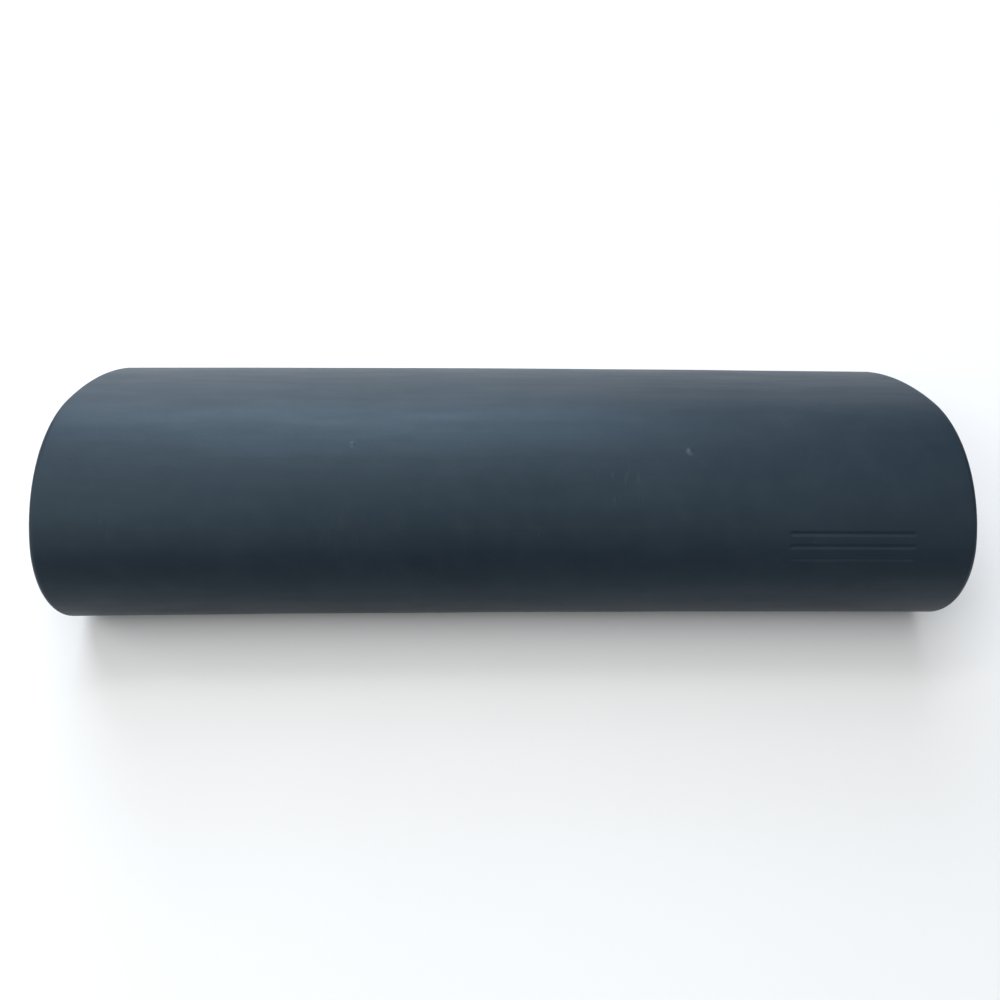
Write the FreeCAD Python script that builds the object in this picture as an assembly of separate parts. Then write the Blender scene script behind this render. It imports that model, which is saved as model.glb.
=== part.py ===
"""Moulded bath and massage bolster pillow.

One long, low pillow of integral-skin polyurethane foam. Its section is a lopsided dome: a round nose
along the front, a crown, and a long back slope that ends in a crisp edge above a short upright back.
Inside lie a soft core and a stiff backing plate. The plate holds four sockets, and a suction cup
snaps into each socket and can turn in it.

Millimetres. +X runs along the pillow, -Y is the round front, +Z is up. The origin is at the middle
of the footprint, on the plane of the suction cups' rims.
"""
import FreeCAD, Part
import math
import os

from FreeCAD import Vector

# Overall size
LENGTH = 380.0
PILLOW_HEIGHT = 63.0
CUP_PROUD = 4.0

# Section: three arcs that run into each other. Tilts are measured from upright, forwards negative.
NOSE_RADIUS = 36.5
CROWN_RADIUS = 63.0
BACK_RADIUS = 173.0
NOSE_TILT = -34.0
BACK_TILT = 31.5
BACK_EDGE_TILT = 52.5

# Edge rounds
END_ROUND = 3.0
BASE_ROUND = 5.0
BACK_EDGE_ROUND = 3.4

# Skin
SKIN = 2.0

# Suction cups and the pockets that they sit in
CUP_SPACING_X = 256.0
CUP_SPACING_Y = 54.0
CUP_RADIUS = 16.0
RIM_WIDTH = 2.0
RIM_THICKNESS = 0.7
POCKET_RADIUS = 18.4
POCKET_DEPTH = 9.0
BELL_DEPTH = 4.6
BOSS_RADIUS = 6.8
STUD_NECK_RADIUS = 4.0
STUD_HEAD_RADIUS = 6.2
STUD_HEAD_EDGE = 2.0
STUD_TIP_RADIUS = 4.2
STUD_PLAY = 0.4

# Sockets
SOCKET_FLANGE_RADIUS = 12.0
SOCKET_BARREL_RADIUS = 8.5
SOCKET_BEAD = 0.7
SOCKET_WALL = 2.0
SOCKET_DEPTH = 9.0

# Backing plate
PLATE_THICKNESS = 3.0
PLATE_LENGTH = 336.0
PLATE_WIDTH = 92.0
PLATE_CORNER = 14.0
KEY_HOLE_RADIUS = 7.0
KEY_HOLE_PITCH = 42.0
KEY_HOLES = 5
RIB_LENGTH = 300.0
RIB_WIDTH = 2.5
RIB_HEIGHT = 6.0
RIB_SPACING = 80.0

# Levels that follow from those sizes
BASE_Z = CUP_PROUD
CROWN_Z = BASE_Z + PILLOW_HEIGHT
CEILING_Z = BASE_Z + POCKET_DEPTH
PLATE_Z = CEILING_Z + SKIN


def tilted(tilt):
    """The unit vector at a tilt from upright, in the plane of the section."""
    angle = math.radians(tilt)
    return Vector(0, math.sin(angle), math.cos(angle))


# Arc centres, first with the crown above y = 0, then moved so that the footprint is centred on y = 0
_crown = Vector(0, 0, CROWN_Z - CROWN_RADIUS)
_nose = _crown + tilted(NOSE_TILT) * (CROWN_RADIUS - NOSE_RADIUS)
_back = _crown + tilted(BACK_TILT) * (CROWN_RADIUS - BACK_RADIUS)
_back_edge_y = _back.y + BACK_RADIUS * math.sin(math.radians(BACK_EDGE_TILT))
_front_y = _nose.y - NOSE_RADIUS
_to_middle = Vector(0, -(_back_edge_y + _front_y) / 2, 0)
CROWN_CENTRE = _crown + _to_middle
NOSE_CENTRE = _nose + _to_middle
BACK_CENTRE = _back + _to_middle
FRONT_Y = _front_y + _to_middle.y
BACK_Y = _back_edge_y + _to_middle.y


def nose_foot(inset):
    """Where the nose arc, moved inwards by inset, meets the base plane, moved up by as much."""
    radius = NOSE_RADIUS - inset
    drop = NOSE_CENTRE.z - (BASE_Z + inset)
    return Vector(0, NOSE_CENTRE.y - math.sqrt(radius**2 - drop**2), BASE_Z + inset)


BASE_MIDDLE_Y = (nose_foot(0).y + BACK_Y) / 2
CUP_PLACES = {
    "front_left": (-CUP_SPACING_X / 2, BASE_MIDDLE_Y - CUP_SPACING_Y / 2),
    "front_right": (CUP_SPACING_X / 2, BASE_MIDDLE_Y - CUP_SPACING_Y / 2),
    "back_left": (-CUP_SPACING_X / 2, BASE_MIDDLE_Y + CUP_SPACING_Y / 2),
    "back_right": (CUP_SPACING_X / 2, BASE_MIDDLE_Y + CUP_SPACING_Y / 2),
}


def arc(centre, radius, tilt_from, tilt_to):
    """An arc of the section about centre, between two tilts."""
    ends = [centre + tilted(t) * radius for t in (tilt_from, (tilt_from + tilt_to) / 2, tilt_to)]
    return Part.Arc(*ends).toShape()


def back_edge(inset):
    """Where the back arc, moved inwards by inset, meets the upright back, moved in by as much."""
    radius = BACK_RADIUS - inset
    reach = BACK_Y - inset - BACK_CENTRE.y
    return Vector(0, BACK_Y - inset, BACK_CENTRE.z + math.sqrt(radius**2 - reach**2))


def heel(inset):
    """The lower back corner of the section, moved inwards both ways by inset."""
    return Vector(0, BACK_Y - inset, BASE_Z + inset)


def tilt_about(centre, point):
    """The tilt at which point lies, seen from centre."""
    return math.degrees(math.atan2(point.y - centre.y, point.z - centre.z))


def section_face(inset):
    """The pillow's section, moved inwards all round by inset, with sharp corners."""
    foot_tilt = tilt_about(NOSE_CENTRE, nose_foot(inset))
    edge_tilt = tilt_about(BACK_CENTRE, back_edge(inset))
    edges = [
        arc(NOSE_CENTRE, NOSE_RADIUS - inset, foot_tilt, NOSE_TILT),
        arc(CROWN_CENTRE, CROWN_RADIUS - inset, NOSE_TILT, BACK_TILT),
        arc(BACK_CENTRE, BACK_RADIUS - inset, BACK_TILT, edge_tilt),
        Part.LineSegment(back_edge(inset), heel(inset)).toShape(),
        Part.LineSegment(heel(inset), nose_foot(inset)).toShape(),
    ]
    return Part.Face(Part.Wire(edges))


def is_lengthwise(edge):
    """Whether an edge runs along the pillow."""
    start, end = (v.Point for v in edge.Vertexes)
    return abs(start.x - end.x) > LENGTH / 2


def lengthwise_edges_at(body, corner_point):
    """The lengthwise edges of body that pass within a millimetre of a corner of the section."""
    near = []
    for edge in body.Edges:
        if len(edge.Vertexes) == 2 and is_lengthwise(edge):
            middle = edge.CenterOfMass
            if math.hypot(middle.y - corner_point.y, middle.z - corner_point.z) < 1.0:
                near.append(edge)
    return near


def end_edges(body):
    """The edges of body that lie in its two end planes."""
    ends = (body.BoundBox.XMin, body.BoundBox.XMax)
    return [e for e in body.Edges if any(lies_at(e, x) for x in ends)]


def lies_at(edge, x):
    """Whether an edge lies in the plane at x."""
    return edge.BoundBox.XLength < 0.01 and abs(edge.CenterOfMass.x - x) < 0.01


def pillow_block(inset):
    """The pillow as one block, moved inwards all round by inset, with all of its edges rounded."""
    length = LENGTH - 2 * inset
    body = section_face(inset).extrude(Vector(length, 0, 0))
    body.translate(Vector(-length / 2, 0, 0))
    body = body.makeFillet(BACK_EDGE_ROUND - inset, lengthwise_edges_at(body, back_edge(inset)))
    body = body.makeFillet(BASE_ROUND - inset, lengthwise_edges_at(body, heel(inset)))
    body = body.makeFillet(BASE_ROUND - inset, lengthwise_edges_at(body, nose_foot(inset)))
    return body.makeFillet(END_ROUND - inset, end_edges(body))


def at_cups(make):
    """The solid that make() gives, at each of the four cup places, joined into one shape."""
    solids = []
    for x, y in CUP_PLACES.values():
        solid = make()
        solid.translate(Vector(x, y, 0))
        solids.append(solid)
    return Part.makeCompound(solids)


def pocket():
    """The room that one cup needs in the base."""
    return Part.makeCylinder(POCKET_RADIUS, POCKET_DEPTH, Vector(0, 0, BASE_Z))


def lined_pocket():
    """One pocket with the skin that lines it."""
    return Part.makeCylinder(POCKET_RADIUS + SKIN, POCKET_DEPTH + SKIN, Vector(0, 0, BASE_Z))


def socket_flange():
    """The disc of a socket that fills the hole in the skin over one pocket."""
    return Part.makeCylinder(SOCKET_FLANGE_RADIUS, SKIN, Vector(0, 0, CEILING_Z))


def corner(radius, z):
    """A corner of an outline that is turned about +Z."""
    return Vector(radius, 0, z)


def turned(edges):
    """A solid of revolution about +Z, from a closed outline."""
    return Part.Face(Part.Wire(edges)).revolve(Vector(), Vector(0, 0, 1), 360)


def lines(corners):
    """Straight edges from each corner to the next."""
    return [Part.LineSegment(*pair).toShape() for pair in zip(corners, corners[1:])]


def core_room():
    """Everything inside the skin."""
    return pillow_block(SKIN).cut(at_cups(lined_pocket))


def skin():
    """The closed skin, with four lined pockets and the holes in their ceilings for the sockets."""
    shell = pillow_block(0).cut(at_cups(pocket)).cut(core_room())
    return shell.cut(at_cups(socket_flange))


def rib(y):
    """A stiffening rib that stands along the top of the plate at y."""
    block = Part.makeBox(RIB_LENGTH, RIB_WIDTH, PLATE_THICKNESS + RIB_HEIGHT)
    block.translate(Vector(-RIB_LENGTH / 2, y - RIB_WIDTH / 2, PLATE_Z))
    return block


def backing_plate():
    """A stiff ribbed plate over the pockets, with holes for the sockets and for foam to key into."""
    plate = Part.makeBox(PLATE_LENGTH, PLATE_WIDTH, PLATE_THICKNESS)
    plate.translate(Vector(-PLATE_LENGTH / 2, BASE_MIDDLE_Y - PLATE_WIDTH / 2, PLATE_Z))
    plate = plate.makeFillet(PLATE_CORNER, [e for e in plate.Edges if e.BoundBox.ZLength > 1.0])
    barrel = Part.makeCylinder(SOCKET_BARREL_RADIUS, PLATE_THICKNESS, Vector(0, 0, PLATE_Z))
    plate = plate.cut(at_cups(barrel.copy))
    for i in range(KEY_HOLES):
        x = (i - (KEY_HOLES - 1) / 2) * KEY_HOLE_PITCH
        place = Vector(x, BASE_MIDDLE_Y, PLATE_Z)
        plate = plate.cut(Part.makeCylinder(KEY_HOLE_RADIUS, PLATE_THICKNESS, place))
    for side in (-1, 1):
        plate = plate.fuse(rib(BASE_MIDDLE_Y + side * RIB_SPACING / 2))
    return plate.removeSplitter()


def cup_socket():
    """A flanged cup that clips into the plate from below and holds the stud of one suction cup."""
    mouth = STUD_NECK_RADIUS + STUD_PLAY
    room = STUD_HEAD_RADIUS + STUD_PLAY
    room_top = CEILING_Z + SOCKET_DEPTH
    top = room_top + SOCKET_WALL
    bead = SOCKET_BARREL_RADIUS + SOCKET_BEAD
    bead_z = PLATE_Z + PLATE_THICKNESS
    corners = [
        corner(0, top),
        corner(0, room_top),
        corner(room, room_top),
        corner(room, PLATE_Z),
        corner(mouth, PLATE_Z),
        corner(mouth, CEILING_Z),
        corner(SOCKET_FLANGE_RADIUS, CEILING_Z),
        corner(SOCKET_FLANGE_RADIUS, PLATE_Z),
        corner(SOCKET_BARREL_RADIUS, PLATE_Z),
        corner(SOCKET_BARREL_RADIUS, bead_z),
        corner(bead, bead_z + SOCKET_BEAD / 2),
        corner(bead, bead_z + 2 * SOCKET_BEAD),
        corner(SOCKET_BARREL_RADIUS, bead_z + 3 * SOCKET_BEAD),
        corner(SOCKET_BARREL_RADIUS, top),
    ]
    return turned(lines(corners + corners[:1]))


def bell_arc(centre_z, radius, r_from, r_to):
    """An arc about a centre on the axis, between two distances from the axis."""
    ends = [corner(r, centre_z + math.sqrt(radius**2 - r**2)) for r in (r_from, (r_from + r_to) / 2, r_to)]
    return Part.Arc(*ends).toShape()


def suction_cup():
    """A soft cup whose rim lies on z = 0, with a mushroom stud that snaps into a socket."""
    rim_inside = CUP_RADIUS - RIM_WIDTH
    bell_radius = (rim_inside**2 + BELL_DEPTH**2) / (2 * BELL_DEPTH)
    bell_centre_z = BELL_DEPTH - bell_radius
    outer_radius = math.hypot(CUP_RADIUS, RIM_THICKNESS - bell_centre_z)
    boss_z = bell_centre_z + math.sqrt(outer_radius**2 - BOSS_RADIUS**2)
    shoulder_z = CEILING_Z - STUD_PLAY
    head_z = PLATE_Z + STUD_PLAY
    head_top = CEILING_Z + SOCKET_DEPTH - STUD_PLAY
    stud = [
        corner(BOSS_RADIUS, boss_z),
        corner(BOSS_RADIUS, shoulder_z),
        corner(STUD_NECK_RADIUS, shoulder_z),
        corner(STUD_NECK_RADIUS, head_z),
        corner(STUD_HEAD_RADIUS, head_z),
        corner(STUD_HEAD_RADIUS, head_z + STUD_HEAD_EDGE),
        corner(STUD_TIP_RADIUS, head_top),
        corner(0, head_top),
        corner(0, BELL_DEPTH),
    ]
    rim = [corner(rim_inside, 0), corner(CUP_RADIUS, 0), corner(CUP_RADIUS, RIM_THICKNESS)]
    return turned(
        lines(stud)
        + [bell_arc(bell_centre_z, bell_radius, 0, rim_inside)]
        + lines(rim)
        + [bell_arc(bell_centre_z, outer_radius, CUP_RADIUS, BOSS_RADIUS)]
    )


def foam_core(plate, sockets):
    """The soft foam, which fills the skin around the plate and the sockets."""
    core = core_room().cut(plate)
    for socket in sockets:
        core = core.cut(filled(socket))
    return core


def filled(socket):
    """A socket with its inside filled, so that no foam is left in it."""
    box = socket.BoundBox
    place = Vector(box.Center.x, box.Center.y, CEILING_Z)
    return socket.fuse(Part.makeCylinder(STUD_HEAD_RADIUS + STUD_PLAY, SOCKET_DEPTH, place))


def write(name, shape):
    """Check one sub-part and write it to parts/."""
    solids = shape.Solids
    if len(solids) != 1 or not solids[0].isValid():
        raise ValueError(f"{name}: {len(solids)} solids, valid: {shape.isValid()}")
    solids[0].exportStep(f"parts/{name}.step")
    box = shape.BoundBox
    print(f"{name}: {shape.Volume / 1000:.1f} cm3, z {box.ZMin:.2f} to {box.ZMax:.2f}")


def main():
    os.makedirs("parts", exist_ok=True)
    plate = backing_plate()
    sockets = {}
    for place, (x, y) in CUP_PLACES.items():
        sockets[place] = cup_socket()
        sockets[place].translate(Vector(x, y, 0))
        cup = suction_cup()
        cup.translate(Vector(x, y, 0))
        write(f"suction_cup_{place}", cup)
        write(f"cup_socket_{place}", sockets[place])
    write("backing_plate", plate)
    write("foam_core", foam_core(plate, sockets.values()))
    write("skin", skin())
    print(f"depth {BACK_Y - FRONT_Y:.2f}, crown at y {CROWN_CENTRE.y:.2f}, base middle {BASE_MIDDLE_Y:.2f}")


main()
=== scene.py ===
"""Looks of the moulded bolster pillow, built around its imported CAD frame.

The skin and the suction cups are new meshes that stand for their CAD nodes. The foam core, backing
plate and sockets keep their CAD shapes and get materials. Everything is in metres, in the CAD's own
frame: +X along the pillow, -Y towards its round front, +Z up, and the cups' rims at z = 0.
"""
import math

import bmesh
import bpy
from mathutils import Matrix, Vector, kdtree, noise
from mathutils.geometry import delaunay_2d_cdt


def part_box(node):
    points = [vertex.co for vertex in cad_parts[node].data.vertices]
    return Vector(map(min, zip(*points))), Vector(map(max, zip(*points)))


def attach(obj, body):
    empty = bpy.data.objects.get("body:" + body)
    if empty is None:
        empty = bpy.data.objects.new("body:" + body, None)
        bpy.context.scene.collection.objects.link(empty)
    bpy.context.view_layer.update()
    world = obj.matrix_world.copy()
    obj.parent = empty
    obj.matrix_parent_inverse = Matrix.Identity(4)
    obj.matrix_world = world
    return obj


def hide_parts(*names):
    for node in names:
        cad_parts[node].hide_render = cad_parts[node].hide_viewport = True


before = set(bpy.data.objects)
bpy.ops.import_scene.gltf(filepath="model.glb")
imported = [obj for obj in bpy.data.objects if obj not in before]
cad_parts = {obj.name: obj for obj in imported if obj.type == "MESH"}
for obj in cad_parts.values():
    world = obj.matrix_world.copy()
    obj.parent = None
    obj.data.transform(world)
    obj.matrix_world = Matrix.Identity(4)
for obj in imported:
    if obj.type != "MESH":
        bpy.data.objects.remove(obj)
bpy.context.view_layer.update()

MM = 0.001
PLACES = ("front_left", "front_right", "back_left", "back_right")

# The pillow's box, and the arcs of its section. Tilts are from upright, forwards negative.
LOW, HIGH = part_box("skin")
HALF_LENGTH = (HIGH.x - LOW.x) / 2
NOSE_RADIUS = 36.5 * MM
CROWN_RADIUS = 63 * MM
BACK_RADIUS = 173 * MM
NOSE_TILT = -34
BACK_TILT = 31.5
BACK_EDGE_ROUND = 3.4 * MM
BASE_ROUND = 5 * MM
END_ROUND = 3 * MM
SKIN = 2 * MM

# Pockets in the base, each round a suction cup
FLANGE_LOW, FLANGE_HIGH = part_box("cup_socket_front_left")
FLANGE_RADIUS = (FLANGE_HIGH.x - FLANGE_LOW.x) / 2
CEILING_Z = FLANGE_LOW.z
POCKET_RADIUS = 18.4 * MM
POCKET_LIP = 1.2 * MM
POCKET_FILLET = 1.4 * MM
HOLE_EDGE = 0.25 * MM

# Suction cups: a bell with a stud on top that snaps into its socket
CUP_LOW, CUP_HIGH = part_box("suction_cup_front_left")
CUP_RADIUS = (CUP_HIGH.x - CUP_LOW.x) / 2
RIM_WIDTH = 2 * MM
RIM_THICKNESS = 0.7 * MM
RIM_EDGE = 0.25 * MM
BELL_DEPTH = 4.6 * MM
GATE_RADIUS = 1.5 * MM
GATE_DEPTH = 0.4 * MM
BOSS_RADIUS = 6.8 * MM
BOSS_EDGE = 0.6 * MM
STUD_NECK_RADIUS = 4 * MM
STUD_HEAD_RADIUS = 6.2 * MM
STUD_TIP_RADIUS = 4.2 * MM
STUD_HEAD_EDGE = 2 * MM
STUD_EDGE = 0.4 * MM
STUD_PLAY = 0.4 * MM

# How far the middle of the pillow bows back, and how uneven the moulded skin is
BOW = 0.8 * MM
UNEVEN_DEPTH = 0.1 * MM
UNEVEN_SIZE = 45 * MM
UNEVEN_FADE = 12 * MM

# The mark, three plain bars pressed into the nose. Its place is (x, distance over the skin).
# Distances over the skin are from the line where the nose meets the crown, backwards positive.
MARK_X = 0.725 * HALF_LENGTH
MARK_OVER = -1 * MM
MARK_LENGTH = 52 * MM
MARK_PITCH = 5.2 * MM
MARK_WIDTH = 2 * MM
MARK_DEPTH = 0.28 * MM
MARK_STEEPNESS = 1.6
MARK_BARS = 3

# Moulding pimples that stand up from the skin, as (x, distance over the skin, radius, height)
PIMPLES = (
    (-65 * MM, 42 * MM, 1.1 * MM, 0.45 * MM),
    (73 * MM, 39 * MM, 1.3 * MM, 0.5 * MM),
)
# How steeply a pimple falls away, and where it ends, in radii
PIMPLE_FALL = 1.8
PIMPLE_REACH = 2.5

# Faint scuffs in the skin, as (x, distance over the skin, radius, strength from 0 to 1)
SCUFFS = (
    (44 * MM, 25 * MM, 14 * MM, 1.0),
    (-72 * MM, 10 * MM, 22 * MM, 0.3),
    (-160 * MM, 9 * MM, 8 * MM, 0.9),
    (118 * MM, 58 * MM, 20 * MM, 0.3),
    (-20 * MM, 84 * MM, 24 * MM, 0.3),
)

# Mesh spacing over the skin, in its detailed stretches, and over the flat faces
COARSE = 3 * MM
FINE = 0.4 * MM
FILL_SPACING = 4 * MM
FILL_CLEARANCE = 0.7 * FILL_SPACING

# Steps round the skin's edges, round each corner of a turned profile, and round a circle
ROUND_STEP = math.radians(12)
ROUND_STEPS = 5
CIRCLE_STEPS = 72
QUARTER_TURN = math.radians(90)
TINY = 1e-7

# The axes across and up a flat face, seen from above and from an end
FROM_ABOVE = (0, 1)
FROM_AN_END = (1, 2)


# ---------------------------------------------------------------- the section
def tilted(tilt):
    """The section's unit vector (y, z) at a tilt from upright."""
    angle = math.radians(tilt)
    return Vector((math.sin(angle), math.cos(angle)))


def tilt_of(vector):
    """The tilt from upright of a vector of the section."""
    return math.degrees(math.atan2(vector.x, vector.y))


# Places of the section are (y, z). The arcs' centres follow from the box and the radii.
CROWN = Vector((0, HIGH.z - CROWN_RADIUS))
NOSE = CROWN + tilted(NOSE_TILT) * (CROWN_RADIUS - NOSE_RADIUS)
CROWN.x = LOW.y + NOSE_RADIUS - NOSE.x
NOSE.x = LOW.y + NOSE_RADIUS
BACK = CROWN + tilted(BACK_TILT) * (CROWN_RADIUS - BACK_RADIUS)
BACK_EDGE = Vector((HIGH.y - BACK_EDGE_ROUND, 0))
BACK_EDGE.y = BACK.y + math.sqrt((BACK_RADIUS - BACK_EDGE_ROUND) ** 2 - (BACK_EDGE.x - BACK.x) ** 2)
HEEL = Vector((HIGH.y - BASE_ROUND, LOW.z + BASE_ROUND))
FOOT = Vector((0, LOW.z + BASE_ROUND))
FOOT.x = NOSE.x - math.sqrt((NOSE_RADIUS - BASE_ROUND) ** 2 - (FOOT.y - NOSE.y) ** 2)
FOOT_TILT = tilt_of(FOOT - NOSE)
BACK_EDGE_TILT = tilt_of(BACK_EDGE - BACK)

# Each arc of the section is (centre, radius, first tilt, last tilt), from the foot to the heel
ARCS = (
    (FOOT, BASE_ROUND, -180, FOOT_TILT),
    (NOSE, NOSE_RADIUS, FOOT_TILT, NOSE_TILT),
    (CROWN, CROWN_RADIUS, NOSE_TILT, BACK_TILT),
    (BACK, BACK_RADIUS, BACK_TILT, BACK_EDGE_TILT),
    (BACK_EDGE, BACK_EDGE_ROUND, BACK_EDGE_TILT, 90),
    (HEEL, BASE_ROUND, 90, 180),
)


def spread(first, last, spacing, windows=()):
    """Places from first to last, evenly spaced, and closer together inside each window."""
    edges = sorted({first, last, *(e for window in windows for e in window if first < e < last)})
    places = [first]
    for low, high in zip(edges, edges[1:]):
        middle = (low + high) / 2
        fine = any(start < middle < end for start, end in windows)
        count = math.ceil((high - low) / (FINE if fine else spacing))
        places += [low + (high - low) * (i + 1) / count for i in range(count)]
    return places


def windows_on(axis):
    """The stretches that need a fine mesh, along x (axis 0) or over the skin (axis 1)."""
    half_height = MARK_PITCH * (MARK_BARS - 1) / 2 + MARK_WIDTH
    centre = (MARK_X, MARK_OVER)[axis]
    half = (MARK_LENGTH / 2 + MARK_WIDTH, half_height)[axis]
    windows = [(centre - half, centre + half)]
    for pimple in PIMPLES:
        reach = pimple[2] * PIMPLE_REACH
        windows.append((pimple[axis] - reach, pimple[axis] + reach))
    return windows


def arc_samples(arc, start, windows):
    """Samples (distance, point, normal) along an arc whose distances begin at start."""
    centre, radius, first, last = arc
    end = start + radius * math.radians(last - first)
    samples = []
    for over in spread(start, end, min(COARSE, radius * ROUND_STEP), windows):
        normal = tilted(first + math.degrees((over - start) / radius))
        samples.append((over, centre + normal * radius, normal))
    return samples


def straight_samples(first, last, start):
    """Samples along the straight line between two points, ends left out."""
    length = (last - first).length
    onwards = (last - first).normalized()
    normal = Vector((-onwards.y, onwards.x))
    samples = []
    for over in spread(0, length, COARSE)[1:-1]:
        samples.append((start + over, first.lerp(last, over / length), normal))
    return samples


def outline(windows=()):
    """The section from the foot over the crown to the heel, as samples (distance, point, normal)."""
    before_crown = sum(radius * math.radians(last - first) for _, radius, first, last in ARCS[:2])
    samples = arc_samples(ARCS[0], -before_crown, windows)
    for arc in ARCS[1:]:
        over, point, _ = samples[-1]
        centre, radius, first_tilt, _ = arc
        arc_start = centre + tilted(first_tilt) * radius
        gap = (arc_start - point).length
        if gap > COARSE:
            samples += straight_samples(point, arc_start, over)
            samples += arc_samples(arc, over + gap, windows)
        else:
            samples += arc_samples(arc, over, windows)[1:]
    return samples


def base_line(samples):
    """Samples along the base, from the heel back to the foot, ends left out."""
    return straight_samples(samples[-1][1], samples[0][1], 0)


def on_skin(x, over):
    """The point of the skin at x and a distance over it."""
    nearest = min(outline(((over - FINE, over + FINE),)), key=lambda sample: abs(sample[0] - over))
    return Vector((x, nearest[1].x, nearest[1].y))


# ---------------------------------------------------------------- relief of the skin
def smooth(value):
    """0 below 0, 1 above 1 and an S-curve between."""
    value = min(max(value, 0.0), 1.0)
    return value * value * (3 - 2 * value)


def mark_relief(x, over):
    """How far the bars of the mark press the skin in."""
    depth = 0.0
    for bar in range(MARK_BARS):
        middle = MARK_OVER + (bar - (MARK_BARS - 1) / 2) * MARK_PITCH
        along = max(abs(x - MARK_X) - (MARK_LENGTH - MARK_WIDTH) / 2, 0.0)
        away = math.hypot(along, over - middle)
        depth = max(depth, smooth((MARK_WIDTH / 2 - away) / (MARK_WIDTH / 2) * MARK_STEEPNESS))
    return -MARK_DEPTH * depth


def pimple_relief(x, over):
    """How far the pimples raise the skin."""
    height = 0.0
    for pimple_x, pimple_over, radius, top in PIMPLES:
        away = math.hypot(x - pimple_x, over - pimple_over) / radius
        if away < PIMPLE_REACH:
            height += top * math.exp(-PIMPLE_FALL * away**2)
    return height


def relief(x, over, point):
    """How far the skin stands out from its true section."""
    fade = smooth((point.y - LOW.z) / UNEVEN_FADE)
    spot = Vector((x, point.x, point.y)) / UNEVEN_SIZE
    return UNEVEN_DEPTH * fade * noise.noise(spot) + mark_relief(x, over) + pimple_relief(x, over)


def bow(x):
    """How far the pillow's middle bows back at x."""
    return BOW * (1 - (x / HALF_LENGTH) ** 2)


# ---------------------------------------------------------------- mesh helpers
def join(bm, ring, following):
    """Faces between two rings of vertices. A ring of one vertex is a point on the axis."""
    count = max(len(ring), len(following))
    for i in range(count):
        j = (i + 1) % count
        corners = [ring[i % len(ring)], ring[j % len(ring)]]
        corners += [following[j % len(following)], following[i % len(following)]]
        bm.faces.new(list(dict.fromkeys(corners)))


def lathe(bm, profile, centre):
    """Rings of vertices about the upright axis through centre, one for each (radius, z), joined up."""
    rings = []
    for radius, z in profile:
        steps = CIRCLE_STEPS if radius > TINY else 1
        ring = []
        for i in range(steps):
            angle = math.tau * i / steps
            x = centre.x + radius * math.cos(angle)
            y = centre.y + radius * math.sin(angle)
            ring.append(bm.verts.new((x, y, z)))
        rings.append(ring)
    for ring, following in zip(rings, rings[1:]):
        join(bm, ring, following)
    return rings


def rounded(corners):
    """A profile through the corners (radius, z, round), with each corner rounded by its own amount."""
    places = [Vector(corner[:2]) for corner in corners]
    profile = [places[0]]
    for i in range(1, len(corners) - 1):
        size = corners[i][2]
        if size == 0:
            profile.append(places[i])
            continue
        back = (places[i - 1] - places[i]).normalized()
        onwards = (places[i + 1] - places[i]).normalized()
        half = back.angle(onwards) / 2
        centre = places[i] + (back + onwards).normalized() * (size / math.sin(half))
        start = (places[i] + back * (size / math.tan(half)) - centre).normalized()
        end = (places[i] + onwards * (size / math.tan(half)) - centre).normalized()
        steps = [k / ROUND_STEPS for k in range(ROUND_STEPS + 1)]
        profile += [centre + start.slerp(end, step) * size for step in steps]
    return profile + [places[-1]]


def round_hole(loop, across, up):
    """The centre and radius of a round loop of vertices."""
    places = [Vector((vertex.co[across], vertex.co[up])) for vertex in loop]
    centre = sum(places, Vector((0, 0))) / len(places)
    return centre, (places[0] - centre).length


def scatter(places):
    """Evenly scattered places all over the box of some others, and clear of them."""
    near = kdtree.KDTree(len(places))
    for i, place in enumerate(places):
        near.insert(place.to_3d(), i)
    near.balance()
    low = Vector((min(place.x for place in places), min(place.y for place in places)))
    high = Vector((max(place.x for place in places), max(place.y for place in places)))
    scattered = []
    for i, across in enumerate(spread(low.x, high.x, FILL_SPACING)):
        for up in spread(low.y, high.y, FILL_SPACING):
            place = Vector((across, up + (i % 2) * FILL_SPACING / 2))
            if near.find(place.to_3d())[2] > FILL_CLEARANCE:
                scattered.append(place)
    return scattered


def fill(bm, loops, across, up):
    """Fill the flat region inside the first loop and outside the others, which are round."""
    rim = [vertex for loop in loops for vertex in loop]
    level = rim[0].co[3 - across - up]
    places = [Vector((vertex.co[across], vertex.co[up])) for vertex in rim]
    places += scatter(places)
    holes = [round_hole(loop, across, up) for loop in loops[1:]]
    edges = []
    for loop in loops:
        first = len(edges)
        edges += [(first + i, first + (i + 1) % len(loop)) for i in range(len(loop))]
    only_inside = 1
    found, _, faces, sources, _, _ = delaunay_2d_cdt(places, edges, [], only_inside, TINY)
    vertices = dict(enumerate(rim))
    for face in faces:
        middle = sum((found[i] for i in face), Vector((0, 0))) / len(face)
        if any((middle - centre).length < radius for centre, radius in holes):
            continue
        corners = []
        for i in face:
            source = sources[i][0]
            if source not in vertices:
                spot = [level, level, level]
                spot[across] = found[i].x
                spot[up] = found[i].y
                vertices[source] = bm.verts.new(spot)
            corners.append(vertices[source])
        bm.faces.new(corners)


def piece_from(bm, name, node, body):
    """A smooth closed object from bm, standing for a CAD node and riding on its body."""
    bmesh.ops.recalc_face_normals(bm, faces=bm.faces)
    mesh = bpy.data.meshes.new(name)
    bm.to_mesh(mesh)
    bm.free()
    mesh.shade_smooth()
    piece = bpy.data.objects.new(name, mesh)
    bpy.context.scene.collection.objects.link(piece)
    even = piece.modifiers.new("even_shading", "WEIGHTED_NORMAL")
    even.keep_sharp = True
    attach(piece, body)
    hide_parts(node)
    return piece


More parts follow.
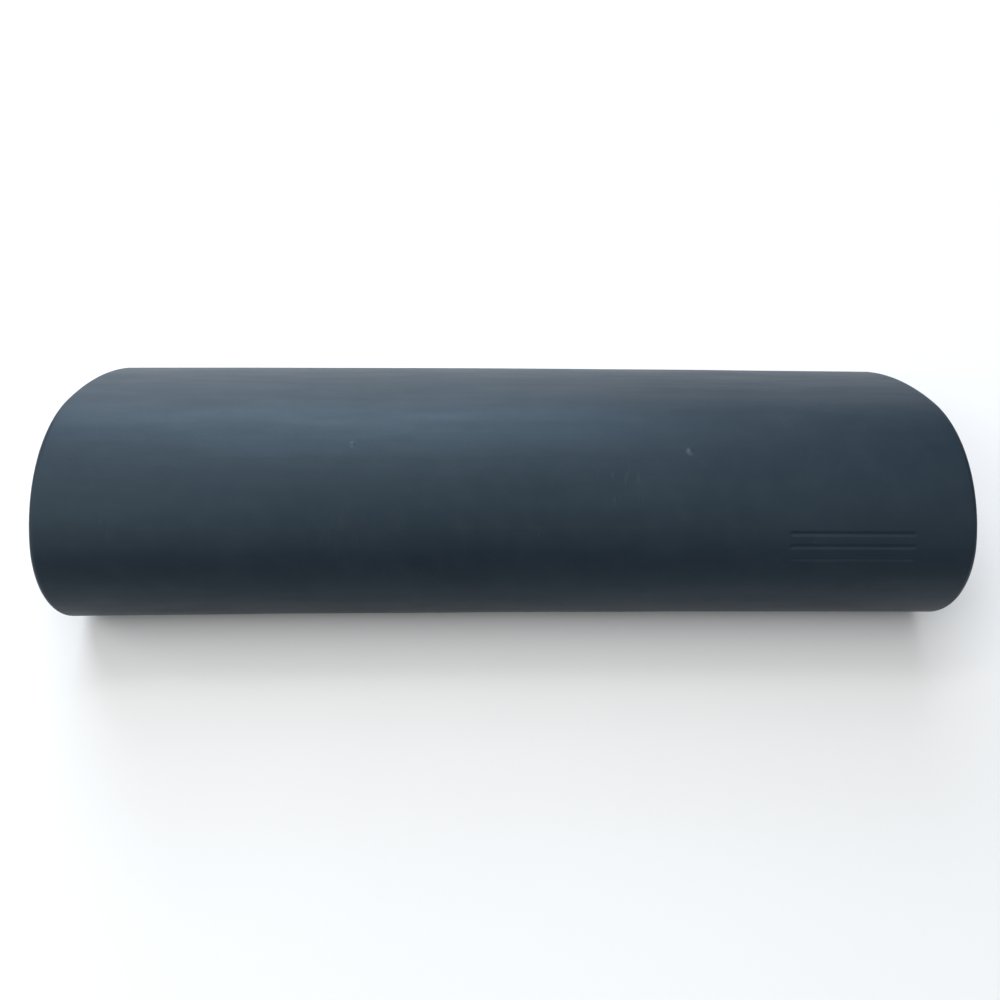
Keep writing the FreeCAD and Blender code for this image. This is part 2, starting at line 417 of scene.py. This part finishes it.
# ---------------------------------------------------------------- the skin
def cup_centre(place):
    """The middle of one suction cup, seen from above."""
    low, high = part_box(f"suction_cup_{place}")
    return (low + high) / 2


def stations(inset, windows):
    """Stations along the pillow as (x, how far the section is inset, normal's share along x)."""
    middle = HALF_LENGTH - END_ROUND
    radius = END_ROUND - inset
    steps = math.ceil(QUARTER_TURN / ROUND_STEP)
    ends = []
    for i in range(1, steps + 1):
        turn = QUARTER_TURN * i / steps
        share = math.sin(turn)
        ends.append((middle + radius * share, inset + radius * (1 - math.cos(turn)), share))
    body = [(x, inset, 0.0) for x in spread(-middle, middle, COARSE, windows)]
    left = [(-x, depth, -share) for x, depth, share in reversed(ends)]
    return left + body + ends


def plain_place(station, sample):
    """Where a plain wall is at a station and a sample of the section."""
    x, depth, _ = station
    _, point, normal = sample
    place = point - normal * depth
    return Vector((x, place.x, place.y))


def detailed_place(station, sample, on_base):
    """Where the outer wall is, bowed, and with its relief unless it is on the flat base."""
    x, _, share = station
    over, point, normal = sample
    place = plain_place(station, sample)
    if not on_base:
        outwards = Vector((share, *(normal * math.sqrt(1 - share**2))))
        place += outwards * relief(x, over, point)
    place.y += bow(x)
    return place


def base_loop(rows, upper):
    """The loop round a wall's open base. The first upper vertices of a row lie over the top."""
    foot = [row[0] for row in rows]
    heel = [row[upper - 1] for row in rows]
    return foot + rows[-1][upper:][::-1] + heel[::-1] + rows[0][upper:]


def wall(bm, inset, detailed):
    """The skin's outer or inner surface: the loop round its open base, and those at its two ends."""
    samples = outline(windows_on(1) if detailed else ())
    across = samples + base_line(samples)
    middle = HALF_LENGTH - END_ROUND
    rows = []
    # The flat base is left open, and filled later, so only the rounded ends have vertices there
    for station in stations(inset, windows_on(0) if detailed else ()):
        has_base = abs(station[0]) > middle - TINY
        row = []
        for i, sample in enumerate(across):
            on_base = i >= len(samples)
            if on_base and not has_base:
                row.append(None)
                continue
            if detailed:
                place = detailed_place(station, sample, on_base)
            else:
                place = plain_place(station, sample)
            row.append(bm.verts.new(place))
        rows.append(row)
    for row, following in zip(rows, rows[1:]):
        for i in range(len(across)):
            j = (i + 1) % len(across)
            corners = (row[i], row[j], following[j], following[i])
            if None not in corners:
                bm.faces.new(corners)
    flat = [row for row in rows if abs(row[0].co.x) < middle + TINY]
    return base_loop(flat, len(samples)), rows[0], rows[-1]


def pocket_profile():
    """One pocket: up its outer wall, through the socket's hole, and down the back of its lining."""
    lining = POCKET_RADIUS + SKIN
    above = CEILING_Z + SKIN
    return rounded(
        (
            (POCKET_RADIUS + 2 * POCKET_LIP, LOW.z, 0),
            (POCKET_RADIUS, LOW.z, POCKET_LIP),
            (POCKET_RADIUS, CEILING_Z, POCKET_FILLET),
            (FLANGE_RADIUS, CEILING_Z, HOLE_EDGE),
            (FLANGE_RADIUS, above, 0),
            (lining, above, 0),
            (lining, LOW.z + SKIN, 0),
        )
    )


def make_skin():
    """The moulded skin: one closed shell with four lined pockets and a hole in each for a socket."""
    bm = bmesh.new()
    outer_base, outer_left, outer_right = wall(bm, 0, True)
    inner_base, inner_left, inner_right = wall(bm, SKIN, False)
    pockets = [lathe(bm, pocket_profile(), cup_centre(place)) for place in PLACES]
    fill(bm, [outer_base] + [rings[0] for rings in pockets], *FROM_ABOVE)
    fill(bm, [inner_base] + [rings[-1] for rings in pockets], *FROM_ABOVE)
    for end in (outer_left, outer_right, inner_left, inner_right):
        fill(bm, [end], *FROM_AN_END)
    return piece_from(bm, "moulded_skin", "skin", "pillow")


# ---------------------------------------------------------------- the suction cups
def sphere_profile(centre_z, radius, first, last):
    """Points of a sphere's outline about the axis, from one distance off the axis to another."""
    distances = spread(min(first, last), max(first, last), MM)
    if first > last:
        distances.reverse()
    return [(r, centre_z + math.sqrt(radius**2 - r**2), 0) for r in distances]


def cup_profile():
    """A suction cup from the gate dimple in its bell, round its rim and over its stud."""
    rim_inside = CUP_RADIUS - RIM_WIDTH
    bell_radius = (rim_inside**2 + BELL_DEPTH**2) / (2 * BELL_DEPTH)
    bell_z = BELL_DEPTH - bell_radius
    outer_radius = math.hypot(CUP_RADIUS, RIM_THICKNESS - bell_z)
    shoulder_z = CEILING_Z - STUD_PLAY
    head_z = CEILING_Z + SKIN + STUD_PLAY
    gate_z = bell_z + math.sqrt(bell_radius**2 - GATE_RADIUS**2)
    return rounded(
        [(0, gate_z - GATE_DEPTH, 0), (GATE_RADIUS - GATE_DEPTH, gate_z - GATE_DEPTH, 0)]
        + sphere_profile(bell_z, bell_radius, GATE_RADIUS, rim_inside)[:-1]
        + [(rim_inside, CUP_LOW.z, RIM_EDGE)]
        + [(CUP_RADIUS, CUP_LOW.z, RIM_EDGE), (CUP_RADIUS, CUP_LOW.z + RIM_THICKNESS, RIM_EDGE)]
        + sphere_profile(bell_z, outer_radius, CUP_RADIUS - RIM_WIDTH / 2, BOSS_RADIUS)
        + [
            (BOSS_RADIUS, shoulder_z, BOSS_EDGE),
            (STUD_NECK_RADIUS, shoulder_z, STUD_EDGE),
            (STUD_NECK_RADIUS, head_z, 0),
            (STUD_HEAD_RADIUS, head_z, STUD_EDGE),
            (STUD_HEAD_RADIUS, head_z + STUD_HEAD_EDGE, STUD_EDGE),
            (STUD_TIP_RADIUS, CUP_HIGH.z, STUD_EDGE),
            (0, CUP_HIGH.z, 0),
        ]
    )


def make_cup(place):
    """One suction cup."""
    bm = bmesh.new()
    lathe(bm, cup_profile(), cup_centre(place))
    return piece_from(bm, f"moulded_cup_{place}", f"suction_cup_{place}", f"cup_{place}")


# ---------------------------------------------------------------- materials
# Colours, linear
SKIN_DARK = (0.0088, 0.0150, 0.0230)
SKIN_LIGHT = (0.0122, 0.0195, 0.0290)
SKIN_MOTTLE = (0.020, 0.027, 0.036)
SKIN_SCUFF = (0.055, 0.072, 0.085)
# The pale spot round each pimple: wear, and a painted glint
SKIN_WORN_GLINT = (0.060, 0.080, 0.095)
SKIN_DUST = (0.12, 0.14, 0.15)
SKIN_GLOSS = (0.60, 0.85, 1.0, 1)
SKIN_SHEEN = (0.8, 0.93, 1.0, 1)
CUP_DARK = (0.030, 0.031, 0.033)
CUP_LIGHT = (0.050, 0.052, 0.055)
SOCKET_DARK = (0.55, 0.56, 0.56)
SOCKET_LIGHT = (0.62, 0.62, 0.61)
PLATE_DARK = (0.045, 0.047, 0.050)
PLATE_LIGHT = (0.065, 0.067, 0.070)
FOAM_DARK = (0.30, 0.31, 0.32)
FOAM_LIGHT = (0.38, 0.39, 0.39)
# Painted shade inside the foam's pores
FOAM_PORE_SHADE = (0.12, 0.12, 0.13)
TABLE_DARK = (0.71, 0.71, 0.705)
TABLE_LIGHT = (0.745, 0.745, 0.74)

# How much of a scuff or of the pale spot round a pimple is at its full strength, and how far that pale
# spot, wear and a painted glint, spreads round a pimple, in radii
SPOT_CORE = 0.2
WEAR_GLINT_REACH = 1.5

# The Mix node's sockets for colours
MIX_SHARE = 0
MIX_FIRST = 6
MIX_SECOND = 7
MIX_COLOUR = 2


class Finish:
    """A procedural material that is built up node by node, in the object's own coordinates."""

    def __init__(self, name):
        self.material = bpy.data.materials.new(name)
        self.material.use_nodes = True
        self.tree = self.material.node_tree
        self.shader = self.tree.nodes["Principled BSDF"]
        self.place = self.node("ShaderNodeTexCoord", {}).outputs["Object"]

    def node(self, kind, inputs, **settings):
        """A new node, with its settings, and its inputs set or linked."""
        node = self.tree.nodes.new(kind)
        for key, value in settings.items():
            setattr(node, key, value)
        for key, value in inputs.items():
            self.connect(value, node.inputs[key])
        return node

    def connect(self, value, socket):
        """Link an output to a socket, or set the socket to a plain value."""
        if isinstance(value, bpy.types.NodeSocket):
            self.tree.links.new(value, socket)
        else:
            socket.default_value = value

    def stretched(self, x, y, z):
        """The place, with each axis scaled."""
        inputs = {0: self.place, 1: (x, y, z)}
        return self.node("ShaderNodeVectorMath", inputs, operation="MULTIPLY").outputs[0]

    def clouds(self, size, detail=2.0, rough=0.5, place=None):
        """Noise between 0 and 1 with features of about a size in metres."""
        inputs = {"Vector": place or self.place, "Scale": 1 / size, "Detail": detail, "Roughness": rough}
        return self.node("ShaderNodeTexNoise", inputs).outputs["Fac"]

    def cells(self, size, smoothness=1.0):
        """Distance to the nearest of many scattered points, for a pebbled grain."""
        inputs = {"Vector": self.place, "Scale": 1 / size, "Smoothness": smoothness}
        return self.node("ShaderNodeTexVoronoi", inputs, feature="SMOOTH_F1").outputs["Distance"]

    def remap(self, value, low, high, to_low=0.0, to_high=1.0):
        """A value taken from one range to another, and held inside it."""
        inputs = {0: value, 1: low, 2: high, 3: to_low, 4: to_high}
        return self.node("ShaderNodeMapRange", inputs, interpolation_type="SMOOTHSTEP").outputs[0]

    def maths(self, operation, first, second):
        """Two values combined."""
        return self.node("ShaderNodeMath", {0: first, 1: second}, operation=operation).outputs[0]

    def blend(self, share, first, second):
        """One colour turning into another. Each is an output, or a plain (red, green, blue)."""
        first, second = ((*value, 1) if isinstance(value, tuple) else value for value in (first, second))
        inputs = {MIX_SHARE: share, MIX_FIRST: first, MIX_SECOND: second}
        return self.node("ShaderNodeMix", inputs, data_type="RGBA").outputs[MIX_COLOUR]

    def spot(self, centre, radius):
        """1 near a centre, falling to 0 at a radius."""
        inputs = {0: self.place, 1: tuple(centre)}
        away = self.node("ShaderNodeVectorMath", inputs, operation="DISTANCE").outputs["Value"]
        return self.remap(away, SPOT_CORE * radius, radius, 1.0, 0.0)

    def bump(self, height, distance, strength=1.0, under=None):
        """Bump from a height between 0 and 1, of a depth in metres, over any bump below it."""
        inputs = {"Height": height, "Distance": distance, "Strength": strength}
        if under:
            inputs["Normal"] = under
        return self.node("ShaderNodeBump", inputs).outputs["Normal"]

    def done(self, colour, rough, normal, values):
        """Set the shader, and return the material."""
        self.connect(colour, self.shader.inputs["Base Color"])
        self.connect(rough, self.shader.inputs["Roughness"])
        self.connect(normal, self.shader.inputs["Normal"])
        for key, value in values.items():
            self.shader.inputs[key].default_value = value
        return self.material


def skin_scuffs(finish):
    """How scuffed the skin is: short strokes up the skin, inside each scuff."""
    scuffed = 0.0
    for x, over, radius, strength in SCUFFS:
        spot = finish.maths("MULTIPLY", finish.spot(on_skin(x, over), radius), strength)
        scuffed = finish.maths("MAXIMUM", scuffed, spot)
    strokes = finish.clouds(3 * MM, 2, 0.5, finish.stretched(1.3, 0.35, 0.35))
    return finish.maths("MULTIPLY", scuffed, finish.remap(strokes, 0.5, 0.72))


def skin_colour(finish, scuffed):
    """Blue-black and mottled, paler on scuffs and round pimples, where wear and a painted glint lighten
    them, with specks of dust.
    """
    broad = finish.remap(finish.clouds(70 * MM, 3), 0.3, 0.7)
    mottle = finish.remap(finish.clouds(9 * MM, 4), 0.35, 0.75, 0.0, 0.25)
    dust = finish.remap(finish.clouds(0.9 * MM, 2, 0.7), 0.74, 0.8, 0.0, 0.5)
    # Paler round each pimple: wear, and a painted glint where the light catches it
    worn_and_glint = 0.0
    for x, over, radius, _ in PIMPLES:
        worn_and_glint = finish.maths("MAXIMUM", worn_and_glint, finish.spot(on_skin(x, over), radius * WEAR_GLINT_REACH))
    colour = finish.blend(broad, SKIN_DARK, SKIN_LIGHT)
    colour = finish.blend(mottle, colour, SKIN_MOTTLE)
    colour = finish.blend(finish.maths("MULTIPLY", scuffed, 0.22), colour, SKIN_SCUFF)
    colour = finish.blend(finish.maths("MULTIPLY", worn_and_glint, 0.6), colour, SKIN_WORN_GLINT)
    return finish.blend(dust, colour, SKIN_DUST)


def skin_grain(finish):
    """Fine pebbles and grit over a slight orange-peel and broad unevenness."""
    grain = finish.bump(finish.cells(0.7 * MM), 0.05 * MM, 0.35)
    grain = finish.bump(finish.clouds(0.35 * MM, 3, 0.6), 0.03 * MM, 0.4, grain)
    grain = finish.bump(finish.clouds(2.4 * MM, 3, 0.6), 0.08 * MM, 0.35, grain)
    return finish.bump(finish.clouds(14 * MM, 2), 0.25 * MM, 0.25, grain)


def skin_finish():
    """Self-skinned polyurethane: blue-black, matt, with a fine grain, wipe marks and faint scuffs."""
    finish = Finish("polyurethane_skin")
    scuffed = skin_scuffs(finish)
    wipes = finish.clouds(6 * MM, 5, 0.6, finish.stretched(0.15, 1, 1))
    rough = finish.remap(wipes, 0.3, 0.7, 0.50, 0.56)
    rough = finish.maths("ADD", rough, finish.maths("MULTIPLY", scuffed, 0.06))
    values = {
        "Specular IOR Level": 0.34,
        "Specular Tint": SKIN_GLOSS,
        "Sheen Weight": 0.015,
        "Sheen Roughness": 0.3,
        "Sheen Tint": SKIN_SHEEN,
    }
    return finish.done(skin_colour(finish, scuffed), rough, skin_grain(finish), values)


def cup_finish():
    """Soft dark PVC with a slight bloom."""
    finish = Finish("soft_pvc")
    bloom = finish.clouds(5 * MM, 4, 0.6)
    colour = finish.blend(finish.remap(bloom, 0.3, 0.7), CUP_DARK, CUP_LIGHT)
    rough = finish.remap(bloom, 0.3, 0.7, 0.28, 0.42)
    normal = finish.bump(finish.clouds(0.8 * MM, 3), 0.02 * MM, 0.4)
    return finish.done(colour, rough, normal, {"IOR": 1.52})


def plastic_finish(name, dark, light, rough_low, rough_high):
    """Injection-moulded plastic with a spark-eroded grain and faint flow streaks."""
    finish = Finish(name)
    flow = finish.clouds(20 * MM, 3, 0.5, finish.stretched(0.3, 1, 1))
    colour = finish.blend(finish.remap(flow, 0.3, 0.7), dark, light)
    rough = finish.remap(finish.clouds(4 * MM, 3), 0.3, 0.7, rough_low, rough_high)
    normal = finish.bump(finish.clouds(0.45 * MM, 3, 0.6), 0.03 * MM, 0.5)
    return finish.done(colour, rough, normal, {"IOR": 1.49})


def foam_finish():
    """Open-celled foam: pale grey, with small pores, and painted shade that darkens each pore inside."""
    finish = Finish("open_cell_foam")
    pores = finish.cells(1.4 * MM, 0.2)
    colour = finish.blend(finish.remap(finish.clouds(25 * MM, 4), 0.3, 0.7), FOAM_DARK, FOAM_LIGHT)
    # Painted shade: each pore is darkened inside, where shade falls in it
    colour = finish.blend(finish.remap(pores, 0.0, 0.35, 0.8, 0.0), colour, FOAM_PORE_SHADE)
    rough = finish.remap(pores, 0.0, 0.5, 1.0, 0.85)
    normal = finish.bump(pores, 0.5 * MM, 0.8)
    normal = finish.bump(finish.clouds(0.5 * MM, 3, 0.7), 0.2 * MM, 0.5, normal)
    return finish.done(colour, rough, normal, {"IOR": 1.45})


def dress(piece, material):
    """Give every part of a piece one material."""
    if not piece.material_slots:
        piece.data.materials.append(material)
    for slot in piece.material_slots:
        slot.material = material


# ---------------------------------------------------------------- the studio
CAMERA_PLACE = Vector((-16.7, -176.3, 349.4)) * MM
CAMERA_DOWN = 63.25
CAMERA_TURN = 4.57
CAMERA_ROLL = 4.08
CAMERA_LENS = 28.87
CAMERA_NEAR = 10 * MM
FLOOR_SIZE = 4.4


def make_camera():
    """A camera that looks down on the front of the pillow, held a little off level."""
    data = bpy.data.cameras.new("camera")
    data.lens = CAMERA_LENS
    data.clip_start = CAMERA_NEAR
    camera = bpy.data.objects.new("camera", data)
    bpy.context.scene.collection.objects.link(camera)
    turn = Matrix.Rotation(math.radians(-CAMERA_TURN), 4, "Z")
    down = Matrix.Rotation(math.radians(90 - CAMERA_DOWN), 4, "X")
    roll = Matrix.Rotation(math.radians(CAMERA_ROLL), 4, "Z")
    camera.matrix_world = Matrix.Translation(CAMERA_PLACE) @ turn @ down @ roll
    bpy.context.scene.camera = camera


def make_floor():
    """A plain pale table top."""
    finish = Finish("pale_table_top")
    colour = finish.blend(finish.clouds(300 * MM, 2), TABLE_DARK, TABLE_LIGHT)
    rough = finish.remap(finish.clouds(50 * MM, 2), 0.3, 0.7, 0.6, 0.7)
    normal = finish.bump(finish.clouds(2 * MM, 2), 0.02 * MM, 0.2)
    bm = bmesh.new()
    bmesh.ops.create_grid(bm, size=FLOOR_SIZE / 2)
    mesh = bpy.data.meshes.new("table_top")
    bm.to_mesh(mesh)
    bm.free()
    floor = bpy.data.objects.new("table_top", mesh)
    bpy.context.scene.collection.objects.link(floor)
    dress(floor, finish.done(colour, rough, normal, {"IOR": 1.4}))


def make_light(name, place, size, power, colour):
    """A rectangular soft light of a size (width, height) that points at the origin."""
    data = bpy.data.lights.new(name, "AREA")
    data.shape = "RECTANGLE"
    data.size, data.size_y = size
    data.energy = power
    data.color = colour
    light = bpy.data.objects.new(name, data)
    bpy.context.scene.collection.objects.link(light)
    light.location = place
    light.rotation_euler = (-Vector(place)).to_track_quat("-Z", "Y").to_euler()


def around(turn, elevation, reach):
    """A place round the origin: turned from behind towards the right, and above the floor."""
    turn = math.radians(turn)
    elevation = math.radians(elevation)
    level = reach * math.cos(elevation)
    return (level * math.sin(turn), level * math.cos(turn), reach * math.sin(elevation))


# Each light is (name, turn, elevation, reach, (width, height), power, colour)
NEUTRAL = (1.0, 1.0, 1.0)
COOL = (0.86, 0.96, 1.08)
LIGHTS = (
    ("overhead_panel", 0, 90, 2.0, (2.4, 2.4), 29, NEUTRAL),
    ("back_panel", -8, 35, 2.2, (2.2, 1.4), 30, COOL),
    ("low_back_panel", -14, 20, 2.2, (1.5, 1.0), 23, COOL),
    ("left_panel", -90, 40, 2.2, (1.6, 1.6), 20, NEUTRAL),
    ("front_left_panel", -125, 40, 2.2, (1.2, 1.2), 5, NEUTRAL),
    ("right_panel", 110, 35, 2.2, (1.2, 1.2), 3, COOL),
    ("lamp_tube", -20, 57, 2.0, (1.2, 0.2), 9, NEUTRAL),
)
ROOM_COLOUR = (0.93, 0.97, 1.0, 1)
ROOM_STRENGTH = 0.07
BACKDROP_COLOUR = (0.78, 0.79, 0.80, 1)


def make_room():
    """A dim room that lights the scene a little, and a pale backdrop that only the camera sees."""
    world = bpy.data.worlds.new("room")
    bpy.context.scene.world = world
    world.use_nodes = True
    nodes = world.node_tree.nodes
    links = world.node_tree.links
    room = nodes["Background"]
    room.inputs["Color"].default_value = ROOM_COLOUR
    room.inputs["Strength"].default_value = ROOM_STRENGTH
    backdrop = nodes.new("ShaderNodeBackground")
    backdrop.inputs["Color"].default_value = BACKDROP_COLOUR
    either = nodes.new("ShaderNodeMixShader")
    links.new(nodes.new("ShaderNodeLightPath").outputs["Is Camera Ray"], either.inputs[0])
    links.new(room.outputs[0], either.inputs[1])
    links.new(backdrop.outputs[0], either.inputs[2])
    links.new(either.outputs[0], nodes["World Output"].inputs["Surface"])


def make_studio():
    """Soft panels all round and a lamp tube, in a dim room."""
    for name, turn, elevation, reach, size, power, colour in LIGHTS:
        make_light(name, around(turn, elevation, reach), size, power, colour)
    make_room()
    bpy.context.scene.view_settings.view_transform = "Standard"


# ---------------------------------------------------------------- everything
make_camera()
make_floor()
make_studio()

skin = make_skin()
dress(skin, skin_finish())

cup_material = cup_finish()
socket_material = plastic_finish("socket_plastic", SOCKET_DARK, SOCKET_LIGHT, 0.35, 0.5)
for place in PLACES:
    dress(make_cup(place), cup_material)
    dress(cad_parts[f"cup_socket_{place}"], socket_material)
plate_material = plastic_finish("plate_plastic", PLATE_DARK, PLATE_LIGHT, 0.45, 0.6)
dress(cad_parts["backing_plate"], plate_material)
dress(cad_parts["foam_core"], foam_finish())
